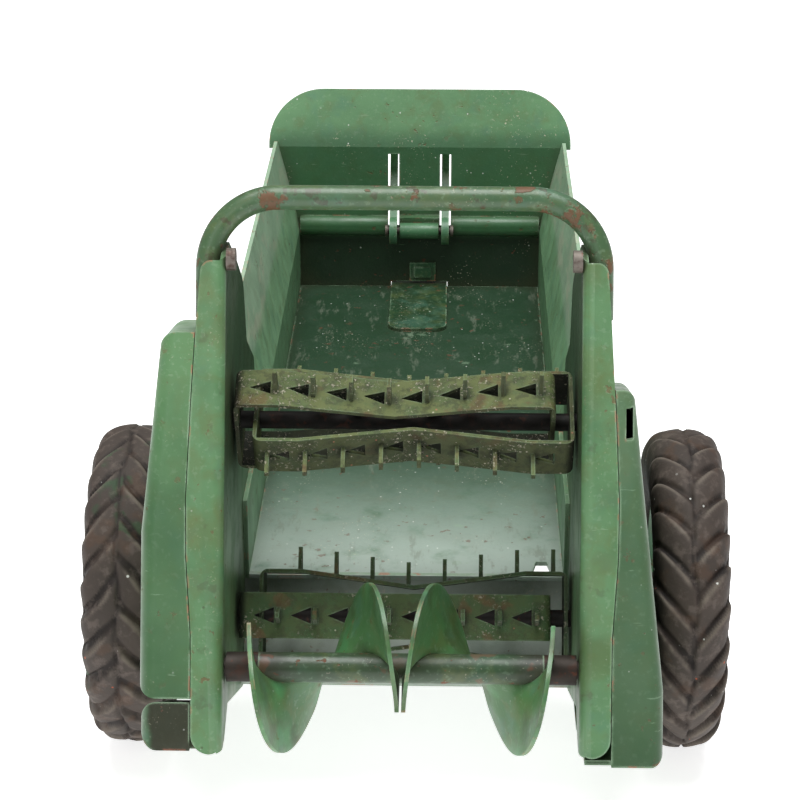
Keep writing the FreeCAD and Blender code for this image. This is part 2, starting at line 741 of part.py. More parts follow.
def lean_point(height):
    """A point of the leaning plane at a distance up it, just ahead of the flanges' rear face."""
    return (f"lean_y + 0.1 + ({height}) * sin(lean_angle)", f"lean_z + ({height}) * cos(lean_angle)")


def flange_room(side):
    """Space that a rear flange takes out of the covers, with a small gap along its outer edge."""
    body = new_body("FlangeRoom")
    outline = flange_outline(side, "cover_gap", "10")
    pad(body, polygon(sketch_on(body, "XZ_Plane", "1"), outline), "frame_sheet + 1.2", back=True)
    return leaned(body)


def covers():
    axle_hole = [("0", "tyre_radius", "4.2")]
    left = [lean_point("78"), ("-16", "99"), ("11", "55"), ("12.6", "30"),
            ("6", "22.4"), ("-22", "22.4"), ("-44", "31"), lean_point("10.2")]
    right = [lean_point("68"), ("-14", "85.7"), ("11", "50"), ("12.6", "30"),
             ("6", "22.4"), ("-40", "22.4"), ("-60", "30"), lean_point("-1.6")]
    body = cover("LeftCover", -1, "cover_outer", left, ("70", "107", "3.8"), "cover_round",
                 axle_hole)
    keep(cut("cover_left_open", body, flange_room(-1)), "drive_cover_left")
    body = cover("RightCover", 1, "cover_outer", right, ("44", "97", "6"), "cover_round_right",
                 axle_hole)
    room = joined("RightRooms", [flange_room(1), vent_slot()])
    keep(cut("cover_right_open", body, room), "drive_cover_right")
    tail = [lean_point("9.6"), ("-44.3", "30.3"), ("-56", "31.5"), lean_point("0.6")]
    body = cover("LeftTail", -1, "(cover_outer - 0.3)", tail, (), "cover_round", [])
    keep(cut("tail_open", body, flange_room(-1)), "cover_tail_left")


def vent_slot():
    """Small upright slot through the right cover's rear wall."""
    return block(("41.2", "lean_y + 15", "87.6"), ("42.5", "lean_y + 30", "93"))


# ---------------------------------------------------------------- tongue and levers

def tongue():
    """Pressed drawbar under the box, bent down to rest on the ground, with a hitch hole."""
    body = new_body("Tongue")
    top = [("120", "floor_top - sheet_metal"), ("board_y - 1", "floor_top - sheet_metal"),
           ("214", "7.6"), ("tongue_front", "7.6")]
    under = [("tongue_front", "6"), ("213.4", "6"), ("board_y - 1.6", "floor_top - sheet_metal - 1.6"),
             ("120", "floor_top - sheet_metal - 1.6")]
    strip = pad(body, polygon(sketch_on(body, "YZ_Plane"), top + under), "2 * tongue_half - 1", symmetric=True)
    soften(body, strip, "5", lambda edge: abs(edge.CenterOfMass.y - size("tongue_front")) < 0.01
           and abs(edge.CenterOfMass.x) > 5 and edge.Length < 2)
    hole = ring(sketch_on(body, "XY_Plane"), "0", "tongue_front - 7", "hitch_radius")
    pocket(body, hole)
    keep(body, "tongue")
    for side in ("left", "right"):
        away = "tongue_half - 0.5" if side == "right" else "0 - tongue_half - 0.7"
        web = new_body("TongueWeb")
        pad(web, polygon(sketch_on(web, "YZ_Plane", away), [
            ("126", "floor_top - sheet_metal"), ("board_y - 1", "floor_top - sheet_metal"),
            ("214", "7.6"), ("226", "7.6"), ("223", "0"), ("212", "0"),
            ("board_y - 3", "floor_top - sheet_metal - 7"),
            ("128", "floor_top - sheet_metal - 3.4")]), "tongue_web")
        keep(web, f"tongue_web_{side}")


def floor_strap():
    """Strap on the box floor that goes out under the board and hooks down in front of it."""
    body = new_body("FloorStrap")
    profile = [("124.6", "floor_top"), ("board_y + 6", "floor_top"), ("board_y + 6", "floor_top - 4"),
               ("board_y + 7", "floor_top - 4"), ("board_y + 7", "floor_top + 1"), ("124.6", "floor_top + 1")]
    strap = pad(body, polygon(sketch_on(body, "YZ_Plane"), profile), "2 * tongue_half", symmetric=True)
    soften(body, strap, "3.5", lambda edge: abs(edge.CenterOfMass.y - 124.6) < 0.01 and edge.Length < 1.5)
    keep(body, "floor_strap")
    clip = block(("-2.6", "board_y - 0.8", "44.6"), ("4.4", "board_y", "49.8"))
    boss = block(("-1.4", "board_y - 1.4", "45.8"), ("3.2", "board_y - 0.8", "48.6"))
    keep(joined("BoardClip", [clip, boss]), "board_clip")


def lever(label, side):
    """Flat control lever: an eye on the pivot pin and a cranked arm through the board's slot."""
    body = new_body(label)
    away = "slot_x - lever_sheet / 2" if side > 0 else "0 - slot_x - lever_sheet / 2"
    py = "lever_pivot_y"
    pz = "lever_pivot_z"
    arm = [(f"{py} - 1.2", f"{pz} + 1.2"), (f"{py} + 2.4", f"{pz} - 0.8"), (f"{py} + 12.4", f"{pz} + 13"),
           (f"{py} + 20", f"{pz} + 28"), (f"{py} + 20", f"{pz} + 31"), (f"{py} + 16.9", f"{pz} + 31"),
           (f"{py} + 16.7", f"{pz} + 28.6"), (f"{py} + 9.6", f"{pz} + 14.6")]
    bar = pad(body, polygon(sketch_on(body, "YZ_Plane", away), arm), "lever_sheet")
    soften(body, bar, "1.4", lambda edge: along(edge, X_AXIS) and edge.CenterOfMass.z > size(pz) + 30)
    eye = sketch_on(body, "YZ_Plane", away)
    pad(body, ring(eye, py, pz, "eye_radius"), "lever_sheet")
    pocket(body, ring(sketch_on(body, "YZ_Plane"), py, pz, "pin_radius + running_gap"))
    keep(body, label)


def lever_pivot():
    """Rolled knuckle on the board, the pin through it and the pin's two heads."""
    pivot = ("0", "lever_pivot_y", "lever_pivot_z")
    web = block(("-5.2", "0", "-2"), ("5.2", "board_y - lever_pivot_y", "-1.1"))
    roll = joined("Knuckle", [cylinder("2.1", "10.4", "-5.2"), web])
    keep(cut("KnuckleBored", roll, cylinder("pin_radius", "20", "-10")), "lever_knuckle", pivot)
    reach = "slot_x + lever_sheet / 2 + end_gap"
    head = [cylinder("1.5", "0.8", start) for start in (reach, f"0 - ({reach}) - 0.8")]
    rod = cylinder("pin_radius", f"2 * ({reach})", f"0 - ({reach})")
    keep(joined("LeverPin", [rod] + head), "lever_pin", pivot)


def rivets(label, side):
    """Three rivets that hold an end frame's forward arm to the box wall."""
    heads = []
    for y, z in ((28, 51), (38, 51), (47, 51)):
        face = "frame_half + frame_sheet" if side > 0 else "0 - frame_half - frame_sheet - 0.9"
        head = cylinder("1.7", "0.9", face)
        head.setExpression("Placement.Base.y", str(y))
        head.setExpression("Placement.Base.z", str(z))
        heads.append(head)
    group = doc.addObject("Part::Compound", "Rivets")
    group.Links = heads
    keep(group, label)


# ---------------------------------------------------------------- wheels

def wheels():
    hub = ("0", "0", "tyre_radius")
    axle = cylinder("axle_radius", "2 * axle_half")
    keep(axle, "axle", ("0 - axle_half", "0", "tyre_radius"), ACROSS)
    for side, word in ((-1, "left"), (1, "right")):
        centre = f"{side} * track_half"
        half = "rim_width / 2"
        deep = "rim_radius - 3.4"
        rim = new_body("Rim")
        section = [(f"{centre} - {half}", "rim_radius"), (f"{centre} - {half}", "rim_radius - 1.2"),
                   (f"{centre} - {half} + 1.4", "rim_radius - 2.6"), (f"{centre} - 1.2", deep),
                   (f"{centre} - 1.2", "hub_radius"), (f"{centre} - hub_half", "hub_radius"),
                   (f"{centre} - hub_half", "axle_radius"), (f"{centre} + hub_half", "axle_radius"),
                   (f"{centre} + hub_half", "hub_radius"), (centre, "hub_radius"), (centre, deep),
                   (f"{centre} + {half} - 1.4", "rim_radius - 2.6"),
                   (f"{centre} + {half}", "rim_radius - 1.2"), (f"{centre} + {half}", "rim_radius")]
        spin(rim, polygon(sketch_on(rim, "XY_Plane"), section), "X_Axis")
        keep(rim, f"rim_{word}", hub)
        tyre = new_body("Tyre")
        wide = "tyre_width / 2"
        section = [(f"{centre} - {half}", "rim_radius"), (f"{centre} + {half}", "rim_radius"),
                   (f"{centre} + {wide}", "rim_radius + 4"), (f"{centre} + {wide}", "tyre_radius - 4.6"),
                   (f"{centre} + {wide} - 2.2", "tyre_radius - 1.1"), (centre, "tyre_radius"),
                   (f"{centre} - {wide} + 2.2", "tyre_radius - 1.1"),
                   (f"{centre} - {wide}", "tyre_radius - 4.6"), (f"{centre} - {wide}", "rim_radius + 4")]
        spin(tyre, polygon(sketch_on(tyre, "XY_Plane"), section), "X_Axis")
        keep(tyre, f"tyre_{word}", hub)
        cap = new_body("HubCap")
        face = f"{centre} + {side} * hub_half"
        section = [(face, "axle_radius"), (face, "4"), (f"{face} + {side} * 0.8", "4"),
                   (f"{face} + {side} * 2.2", "2.6"), (f"{face} + {side} * 2.2", "axle_radius")]
        spin(cap, polygon(sketch_on(cap, "XY_Plane"), section), "X_Axis")
        keep(cap, f"hub_cap_{word}", hub)
    end = "track_half - hub_half"
    start = "pulley_x + pulley_width / 2"
    spacer = sleeve("Spacer", "3.2", "axle_radius", f"0 - ({end})", f"{end} - ({start})")
    keep(spacer, "axle_spacer_left", hub)
    start = "frame_half + frame_sheet + end_gap"
    spacer = sleeve("Spacer", "3.2", "axle_radius", start, f"{end} - ({start})")
    keep(spacer, "axle_spacer_right", hub)


# ---------------------------------------------------------------- build

floor()
wall(-1, "wall_left")
wall(1, "wall_right")
front_board()
beater_pan()
floor_strap()
tongue()
lever("lever_left", -1)
lever("lever_right", 1)
lever_pivot()
end_frame(-1, "end_frame_left")
end_frame(1, "end_frame_right")
rivets("frame_rivets_left", -1)
rivets("frame_rivets_right", 1)
arch()
covers()
wheels()
drive()
beater_loop("UpperLoopA", "upper_beater_loop_left", "upper", -1, 25)
beater_loop("UpperLoopB", "upper_beater_loop_right", "upper", 1, -64)
beater_loop("LowerLoopA", "lower_beater_loop_left", "lower", -1, 62)
beater_loop("LowerLoopB", "lower_beater_loop_right", "lower", 1, -28)
spread_tube()
TOWARDS_REAR = 151
paddle("PaddleA", "paddle_left_outer", -28.0, -14.2, 1, TOWARDS_REAR)
paddle("PaddleB", "paddle_left_inner", -0.6, -14.0, -1, TOWARDS_REAR)
paddle("PaddleC", "paddle_right_inner", 0.6, 14.0, -1, TOWARDS_REAR)
paddle("PaddleD", "paddle_right_outer", 28.0, 14.2, 1, TOWARDS_REAR)
driven = "pulley_x + pulley_width / 2 + 0.6"
plain = "frame_half + frame_sheet + end_gap + 1.2"
rotor_shaft("upper_beater_shaft", "upper", driven, plain)
rotor_shaft("lower_beater_shaft", "lower", driven, driven)
rotor_shaft("widespread_shaft", "spread", plain, driven)


def write_parts():
    doc.recompute()
    for piece in doc.Objects:
        if "Invalid" in piece.State or "Error" in piece.State:
            raise RuntimeError(f"{piece.Label}: {piece.State}")
    os.makedirs("parts", exist_ok=True)
    for piece in subparts:
        if piece.Shape.isNull() or not piece.Shape.isValid():
            raise RuntimeError(f"{piece.Label}: no valid shape")
        piece.Shape.exportStep(f"parts/{piece.Label}.step")
        print(f"{piece.Label}: {piece.Shape.Volume:.1f} mm3")


write_parts()
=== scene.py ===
"""Toy manure spreader seen from behind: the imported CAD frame, finished and lit."""
import json
import math

import bpy
import numpy as np
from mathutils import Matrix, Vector


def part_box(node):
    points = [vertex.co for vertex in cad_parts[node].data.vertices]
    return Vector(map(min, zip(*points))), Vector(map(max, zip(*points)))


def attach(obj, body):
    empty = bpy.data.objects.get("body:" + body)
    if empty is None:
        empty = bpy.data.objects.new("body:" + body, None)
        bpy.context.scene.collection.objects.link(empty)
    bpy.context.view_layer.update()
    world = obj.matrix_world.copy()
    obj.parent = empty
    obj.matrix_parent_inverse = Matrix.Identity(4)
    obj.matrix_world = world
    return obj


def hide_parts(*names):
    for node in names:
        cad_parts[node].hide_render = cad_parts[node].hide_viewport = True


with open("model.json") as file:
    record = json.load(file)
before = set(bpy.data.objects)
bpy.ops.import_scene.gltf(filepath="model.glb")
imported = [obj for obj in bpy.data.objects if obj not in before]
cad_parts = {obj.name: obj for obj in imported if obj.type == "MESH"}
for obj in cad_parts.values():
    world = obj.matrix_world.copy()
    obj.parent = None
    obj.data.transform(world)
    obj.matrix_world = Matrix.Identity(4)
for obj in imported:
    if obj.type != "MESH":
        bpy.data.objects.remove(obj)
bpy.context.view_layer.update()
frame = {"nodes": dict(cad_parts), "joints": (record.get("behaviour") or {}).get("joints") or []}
nodes = frame["nodes"]


def centre_of(name):
    low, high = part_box(name)
    return (Vector(low) + Vector(high)) / 2


AXLE = centre_of("axle")


# ---------------------------------------------------------------- material kit

def linear(red, green, blue):
    """A colour given as it is seen, 0 to 255 a channel, as the linear colour a shader takes."""
    def channel(value):
        value = value / 255
        return value / 12.92 if value <= 0.04045 else ((value + 0.055) / 1.055) ** 2.4
    return (channel(red), channel(green), channel(blue), 1.0)


class Coat:
    """A material under construction: a colour that layers are painted on, with roughness and bump."""

    def __init__(self, name, colour, roughness=0.45, metal=0.0, seed=0.0):
        self.material = bpy.data.materials.new(name)
        self.material.use_nodes = True
        tree = self.material.node_tree
        self.nodes = tree.nodes
        self.links = tree.links
        self.shader = self.nodes["Principled BSDF"]
        self.shader.inputs["Metallic"].default_value = metal
        where = self.add("ShaderNodeTexCoord")
        self.object_normal = where.outputs["Normal"]
        shift = self.add("ShaderNodeVectorMath")
        self.links.new(where.outputs["Object"], shift.inputs[0])
        shift.inputs[1].default_value = (seed, seed * 0.7, seed * 0.4)
        self.true_place = where.outputs["Object"]
        self.place = shift.outputs[0]
        self.colour = colour
        self.rough = roughness
        self.height = None

    def add(self, kind):
        return self.nodes.new(kind)

    def feed(self, socket, value):
        if isinstance(value, bpy.types.NodeSocket):
            self.links.new(value, socket)
        else:
            socket.default_value = value

    def noise(self, scale, detail=3.0, rough=0.55, stretch=None, distort=0.0):
        node = self.add("ShaderNodeTexNoise")
        node.inputs["Scale"].default_value = scale
        node.inputs["Detail"].default_value = detail
        node.inputs["Roughness"].default_value = rough
        node.inputs["Distortion"].default_value = distort
        place = self.place
        if stretch:
            scaled = self.add("ShaderNodeVectorMath")
            scaled.operation = "MULTIPLY"
            self.links.new(place, scaled.inputs[0])
            scaled.inputs[1].default_value = stretch
            place = scaled.outputs[0]
        self.links.new(place, node.inputs["Vector"])
        return node.outputs["Fac"]

    def specks(self, scale, size, share):
        """Small round spots of uneven size, on a share of the cells of a Voronoi pattern."""
        cells = self.add("ShaderNodeTexVoronoi")
        cells.inputs["Scale"].default_value = scale
        self.links.new(self.place, cells.inputs["Vector"])
        split = self.add("ShaderNodeSeparateColor")
        self.links.new(cells.outputs["Color"], split.inputs[0])
        spot = self.ramp(cells.outputs["Distance"], size, size * 0.6)
        return self.maths("MULTIPLY", spot, self.ramp(split.outputs[0], 1 - share, 1 - share + 0.01))

    def maths(self, operation, first, second):
        node = self.add("ShaderNodeMath")
        node.operation = operation
        self.feed(node.inputs[0], first)
        self.feed(node.inputs[1], second)
        return node.outputs[0]

    def ramp(self, value, start, end, low=0.0, high=1.0):
        """low up to start, high from end, and a smooth way between; start may be above end."""
        node = self.add("ShaderNodeMapRange")
        node.interpolation_type = "SMOOTHSTEP"
        self.feed(node.inputs["Value"], value)
        if start > end:
            start, end, low, high = end, start, high, low
        node.inputs["From Min"].default_value = start
        node.inputs["From Max"].default_value = end
        node.inputs["To Min"].default_value = low
        node.inputs["To Max"].default_value = high
        return node.outputs["Result"]

    def axis(self, index, place=None):
        split = self.add("ShaderNodeSeparateXYZ")
        self.links.new(place or self.true_place, split.inputs[0])
        return split.outputs[index]

    def paint(self, mask, colour, strength=1.0):
        """Lay a colour over what is there, where the mask is one."""
        mix = self.add("ShaderNodeMix")
        mix.data_type = "RGBA"
        if strength != 1.0:
            mask = self.maths("MULTIPLY", mask, strength)
        self.feed(mix.inputs[0], mask)
        self.feed(mix.inputs[6], self.colour)
        self.feed(mix.inputs[7], colour)
        self.colour = mix.outputs[2]

    def roughen(self, mask, value):
        mix = self.add("ShaderNodeMix")
        self.feed(mix.inputs[0], mask)
        self.feed(mix.inputs[2], self.rough)
        self.feed(mix.inputs[3], value)
        self.rough = mix.outputs[0]

    def raise_by(self, mask, amount):
        part = self.maths("MULTIPLY", mask, amount)
        self.height = part if self.height is None else self.maths("ADD", self.height, part)

    def edges(self, radius, low=0.02, high=0.2):
        """One along outer and inner edges, where the rounded normal leaves the face's own."""
        bevel = self.add("ShaderNodeBevel")
        bevel.samples = 4
        bevel.inputs["Radius"].default_value = radius
        face = self.add("ShaderNodeNewGeometry")
        dot = self.add("ShaderNodeVectorMath")
        dot.operation = "DOT_PRODUCT"
        self.links.new(bevel.outputs[0], dot.inputs[0])
        self.links.new(face.outputs["Normal"], dot.inputs[1])
        return self.ramp(dot.outputs["Value"], 1 - low, 1 - high)

    def hollows(self, distance):
        """One where the surface is closed in by others near it, where the materials lay painted shade."""
        shade = self.add("ShaderNodeAmbientOcclusion")
        shade.samples = 4
        shade.inputs["Distance"].default_value = distance
        return self.ramp(shade.outputs["AO"], 0.85, 0.35)

    def done(self, bump=0.0002):
        self.feed(self.shader.inputs["Base Color"], self.colour)
        self.feed(self.shader.inputs["Roughness"], self.rough)
        if self.height is not None:
            node = self.add("ShaderNodeBump")
            node.inputs["Strength"].default_value = 1.0
            node.inputs["Distance"].default_value = bump
            self.links.new(self.height, node.inputs["Height"])
            self.links.new(node.outputs[0], self.shader.inputs["Normal"])
        return self.material


# ---------------------------------------------------------------- colours

GREEN = linear(94, 134, 92)
PALE_GREEN = linear(146, 174, 144)
BRIGHT_GREEN = linear(78, 146, 92)
DEEP_GREEN = linear(36, 84, 50)
BLUE_GREEN = linear(78, 124, 106)
OLIVE = linear(98, 108, 60)
DARK_OLIVE = linear(56, 62, 34)
# Near-black for painted shade in hollows, low on the front board and inside the beater loops.
SHADE_BLACK = linear(20, 24, 18)
RUST = linear(112, 58, 34)
DARK_RUST = linear(66, 42, 32)
CREAM = linear(214, 206, 184)
WHITE = linear(238, 240, 234)
ROSE = linear(190, 118, 96)
STEEL = linear(120, 112, 104)


# ---------------------------------------------------------------- materials

def enamel(name, base, seed, dark=DEEP_GREEN, blotch=0.45, tint=0.35, rust=0.5, edge_wear_and_highlight=0.8, painted_hollow_shade=0.7,
           dust=0.25, rough=0.36, layers=None):
    """Old gloss enamel on pressed steel, with painted shade in its hollows and pale edges that are partly
    scuffed paint and partly painted highlight. layers(coat) may paint more between the tints and the
    scratches.
    """
    coat = Coat(name, base, rough, seed=seed)
    coat.shader.inputs["Coat Weight"].default_value = 0.12
    coat.shader.inputs["Coat Roughness"].default_value = 0.3
    coat.paint(coat.ramp(coat.noise(62, 4), 0.42, 0.7), dark, blotch)
    coat.paint(coat.ramp(coat.noise(210, 4, 0.6, distort=0.4), 0.46, 0.68), OLIVE, tint)
    coat.paint(coat.ramp(coat.noise(150, 3), 0.5, 0.72), BLUE_GREEN, tint)
    coat.paint(coat.ramp(coat.noise(900, 2), 0.56, 0.7), PALE_GREEN, 0.18)
    if layers:
        layers(coat)
    scratch = coat.ramp(coat.noise(120, 5, 0.65, stretch=(1.0, 1.0, 7.0)), 0.66, 0.7)
    coat.paint(scratch, PALE_GREEN, 0.3)
    # Painted shade: dark olive in the hollows, where the surface is closed in.
    hollow_shade_mask = coat.hollows(0.006)
    coat.paint(hollow_shade_mask, DARK_OLIVE, painted_hollow_shade)
    coat.roughen(hollow_shade_mask, 0.75)
    # Pale edges are partly scuffed paint and partly painted highlight, with rose-red bitten nicks.
    edge = coat.edges(0.0008)
    worn_and_highlit_edge = coat.maths("MULTIPLY", edge, coat.ramp(coat.noise(170, 4), 0.4, 0.56))
    coat.paint(worn_and_highlit_edge, PALE_GREEN, edge_wear_and_highlight)
    bitten = coat.maths("MULTIPLY", edge, coat.ramp(coat.noise(260, 4), 0.57, 0.62))
    coat.paint(bitten, ROSE, edge_wear_and_highlight * 0.8)
    field = coat.ramp(coat.noise(45, 3), 0.45, 0.6)
    spots = coat.maths("MULTIPLY", field, coat.ramp(coat.noise(420, 3, 0.6), 0.64, 0.69))
    coat.paint(spots, RUST, rust)
    coat.roughen(spots, 0.85)
    coat.paint(coat.specks(950, 0.22, 0.03), WHITE, dust)
    coat.paint(coat.maths("MULTIPLY", coat.ramp(coat.noise(1700, 2, 0.6), 0.66, 0.7),
                          coat.ramp(coat.noise(60, 3), 0.5, 0.62)), CREAM, dust)
    coat.paint(coat.specks(330, 0.1, 0.1), DARK_RUST, rust)
    coat.roughen(coat.ramp(coat.noise(130, 4), 0.4, 0.7), rough + 0.2)
    coat.raise_by(coat.noise(260, 3), 0.35)
    coat.raise_by(coat.noise(1300, 3), 0.14)
    coat.raise_by(spots, -0.3)
    return coat.done(0.00025)


def wall_layers(coat):
    """Painted shade on the lower wall, the mid-green flare, and a pale band along the top edge that is
    partly painted highlight and partly scuffed paint.
    """
    height = coat.maths("ADD", coat.axis(2), coat.maths("MULTIPLY", coat.noise(140, 3), 0.002))
    # Painted shade: deeper green on the lower wall.
    coat.paint(coat.ramp(height, 0.0608, 0.0592), DEEP_GREEN, 0.25)
    # Pale band along the top edge: partly painted highlight of the curled rim, partly scuffed paint; cream
    # scratches follow.
    coat.paint(coat.ramp(height, 0.0705, 0.0735), linear(190, 206, 188), 0.42)
    coat.paint(coat.maths("MULTIPLY", coat.ramp(height, 0.068, 0.074),
                          coat.ramp(coat.noise(180, 5, 0.65, stretch=(1.0, 0.3, 1.0)), 0.5, 0.62)),
               CREAM, 0.35)


def floor_layers(coat):
    """Painted shade under the front of the box; behind, where the load was thrown, the floor is shiny and
    pale, partly scuffed paint and partly painted sheen.
    """
    rear = coat.ramp(coat.axis(1), AXLE.y + 0.06, AXLE.y - 0.02)
    # Pale rear floor: partly scuffed paint, partly painted sheen.
    coat.paint(coat.maths("MULTIPLY", rear, coat.ramp(coat.noise(110, 5, 0.62), 0.16, 0.5)),
               linear(186, 200, 190), 0.9)
    # Painted shade: near-black green under the front of the box.
    coat.paint(coat.maths("SUBTRACT", 1.0, rear), linear(30, 58, 36), 0.95)
    coat.roughen(rear, 0.28)
    rub = coat.ramp(coat.noise(90, 6, 0.7, stretch=(4.0, 1.0, 1.0)), 0.55, 0.66)
    coat.paint(rub, linear(120, 128, 112), 0.45)


def rearward(coat, start, end):
    """One on faces that look to the rear, and none on those that look forwards."""
    return coat.ramp(coat.axis(1, coat.object_normal), start, end)


def board_layers(coat):
    """Painted shade darkens the front board below its bend on the box side, nearly black lower down, and
    it has bare red-brown nicks on the lip.
    """
    height = coat.axis(2)
    box_side = rearward(coat, 0.3, -0.1)
    # Painted shade: deep green below the bend and near-black lower down, on the box side only.
    coat.paint(coat.maths("MULTIPLY", box_side, coat.ramp(height, 0.088, 0.082)), DEEP_GREEN, 0.72)
    coat.paint(coat.maths("MULTIPLY", box_side, coat.ramp(height, 0.0585, 0.056)), SHADE_BLACK, 0.8)
    nicks = coat.maths("MULTIPLY", coat.ramp(height, 0.0965, 0.0985),
                       coat.ramp(coat.noise(520, 3), 0.62, 0.66))
    coat.paint(nicks, RUST, 0.8)


def arch_layers(coat):
    """Rubbed rod: broad rust patches with paint between them."""
    patches = coat.ramp(coat.noise(130, 5, 0.65), 0.53, 0.58)
    coat.paint(patches, RUST, 0.7)
    coat.paint(coat.ramp(coat.noise(300, 4, 0.6), 0.57, 0.63), DARK_RUST, 0.5)
    coat.roughen(patches, 0.75)
    coat.raise_by(patches, 0.5)


def frame_layers(coat):
    """Olive and rusty clouds all over, with painted shade on the faces that look into the machine, darkest
    low down.
    """
    coat.paint(coat.ramp(coat.noise(75, 4), 0.48, 0.62), OLIVE, 0.4)
    coat.paint(coat.ramp(coat.noise(190, 4), 0.62, 0.68), DARK_RUST, 0.25)
    # Painted shade on the inner faces, near-black on their low part.
    low_part = coat.ramp(coat.axis(2), 0.062, 0.075)
    coat.paint(coat.maths("MULTIPLY", inner_face(coat), low_part), linear(24, 34, 24), 0.7)
    coat.paint(inner_face(coat), linear(52, 78, 46), 0.35)


def inner_face(coat):
    """One on the faces of an end frame that look into the machine."""
    return coat.ramp(coat.maths("ABSOLUTE", coat.axis(0), 0.0), 0.03315, 0.03305)


def blade_layers(coat):
    """Paddles keep brighter paint in their middle and olive muck towards the tube."""
    coat.paint(coat.ramp(coat.noise(110, 4, 0.6), 0.5, 0.64), DARK_OLIVE, 0.45)
    coat.paint(coat.ramp(coat.noise(90, 2), 0.54, 0.66), BRIGHT_GREEN, 0.5)


def tube_layers(coat):
    """Paint burnt dark and rusty towards both ends of the paddle tube."""
    reach = coat.maths("ABSOLUTE", coat.axis(0), 0.0)
    coat.paint(coat.ramp(reach, 0.017, 0.026), linear(38, 34, 28), 0.8)
    coat.paint(coat.ramp(coat.noise(150, 4), 0.58, 0.64), RUST, 0.5)


def cover_layers(coat):
    """Painted shade towards the middle and foot of the big covers' rear faces."""
    height = coat.maths("ADD", coat.axis(2), coat.maths("MULTIPLY", coat.noise(38, 2), 0.03))
    rear = rearward(coat, 0.05, -0.3)
    # Painted shade: darker green lower down on the rear faces.
    coat.paint(coat.maths("MULTIPLY", rear, coat.ramp(height, 0.12, 0.085)), linear(44, 76, 46), 0.5)
    coat.paint(coat.maths("MULTIPLY", rear, coat.ramp(height, 0.07, 0.04)), linear(36, 66, 38), 0.5)


def tail_layers(coat):
    """Dirty brown-olive plate with its paint left on the outer strip and the foot."""
    across = coat.maths("ADD", coat.axis(0), coat.maths("MULTIPLY", coat.noise(200, 3), 0.002))
    coat.paint(coat.ramp(across, -0.0462, -0.0448), linear(42, 40, 26), 0.92)


def gritty(name, seed, colour, centre=None, crumbs=0.6, green=0.35):
    """Enamel under caked muck with pale crumbs; painted shade makes it nearly black in its hollows and on
    the side that faces the rotor's axis, and dark on faces that look down.
    """
    coat = Coat(name, colour, 0.62, seed=seed)
    coat.paint(coat.ramp(coat.noise(240, 5, 0.6), 0.42, 0.62), DEEP_GREEN, green)
    coat.paint(coat.ramp(coat.noise(400, 5, 0.7), 0.48, 0.6), DARK_OLIVE, 0.6)
    coat.paint(coat.ramp(coat.noise(160, 4), 0.56, 0.66), RUST, 0.35)
    # Pale edges: partly scuffed paint, partly painted highlight.
    edge = coat.edges(0.0006)
    coat.paint(coat.maths("MULTIPLY", edge, coat.ramp(coat.noise(300, 3), 0.42, 0.55)), PALE_GREEN, 0.4)
    # Painted shade in the hollows.
    coat.paint(coat.hollows(0.005), SHADE_BLACK, 0.85)
    if centre is not None:
        away = coat.add("ShaderNodeVectorMath")
        away.operation = "SUBTRACT"
        coat.links.new(coat.true_place, away.inputs[0])
        away.inputs[1].default_value = centre
        flat = coat.add("ShaderNodeVectorMath")
        flat.operation = "MULTIPLY"
        coat.links.new(away.outputs[0], flat.inputs[0])
        flat.inputs[1].default_value = (0.0, 1.0, 1.0)
        unit = coat.add("ShaderNodeVectorMath")
        unit.operation = "NORMALIZE"
        coat.links.new(flat.outputs[0], unit.inputs[0])
        facing = coat.add("ShaderNodeVectorMath")
        facing.operation = "DOT_PRODUCT"
        coat.links.new(unit.outputs[0], facing.inputs[0])
        coat.links.new(coat.object_normal, facing.inputs[1])
        # Painted shade: near-black on faces that look towards the rotor's axis.
        coat.paint(coat.ramp(facing.outputs["Value"], -0.1, -0.4), SHADE_BLACK, 0.8)
        # Painted shade: dark olive on faces that look down.
        coat.paint(coat.ramp(coat.axis(2, coat.object_normal), 0.05, -0.15), linear(34, 36, 22), 0.6)
    bits = coat.maths("MULTIPLY", coat.ramp(coat.noise(1500, 3, 0.7), 0.57, 0.63),
                      coat.ramp(coat.noise(120, 3), 0.44, 0.6))
    coat.paint(bits, CREAM, crumbs)
    coat.paint(coat.specks(900, 0.22, 0.12), CREAM, crumbs)
    coat.paint(coat.specks(620, 0.16, 0.1), ROSE, crumbs)
    coat.raise_by(bits, 0.5)
    coat.roughen(coat.noise(300, 3), 0.8)
    coat.raise_by(coat.noise(700, 5, 0.7), 0.8)
    coat.raise_by(coat.noise(260, 3), 0.5)
    return coat.done(0.0003)


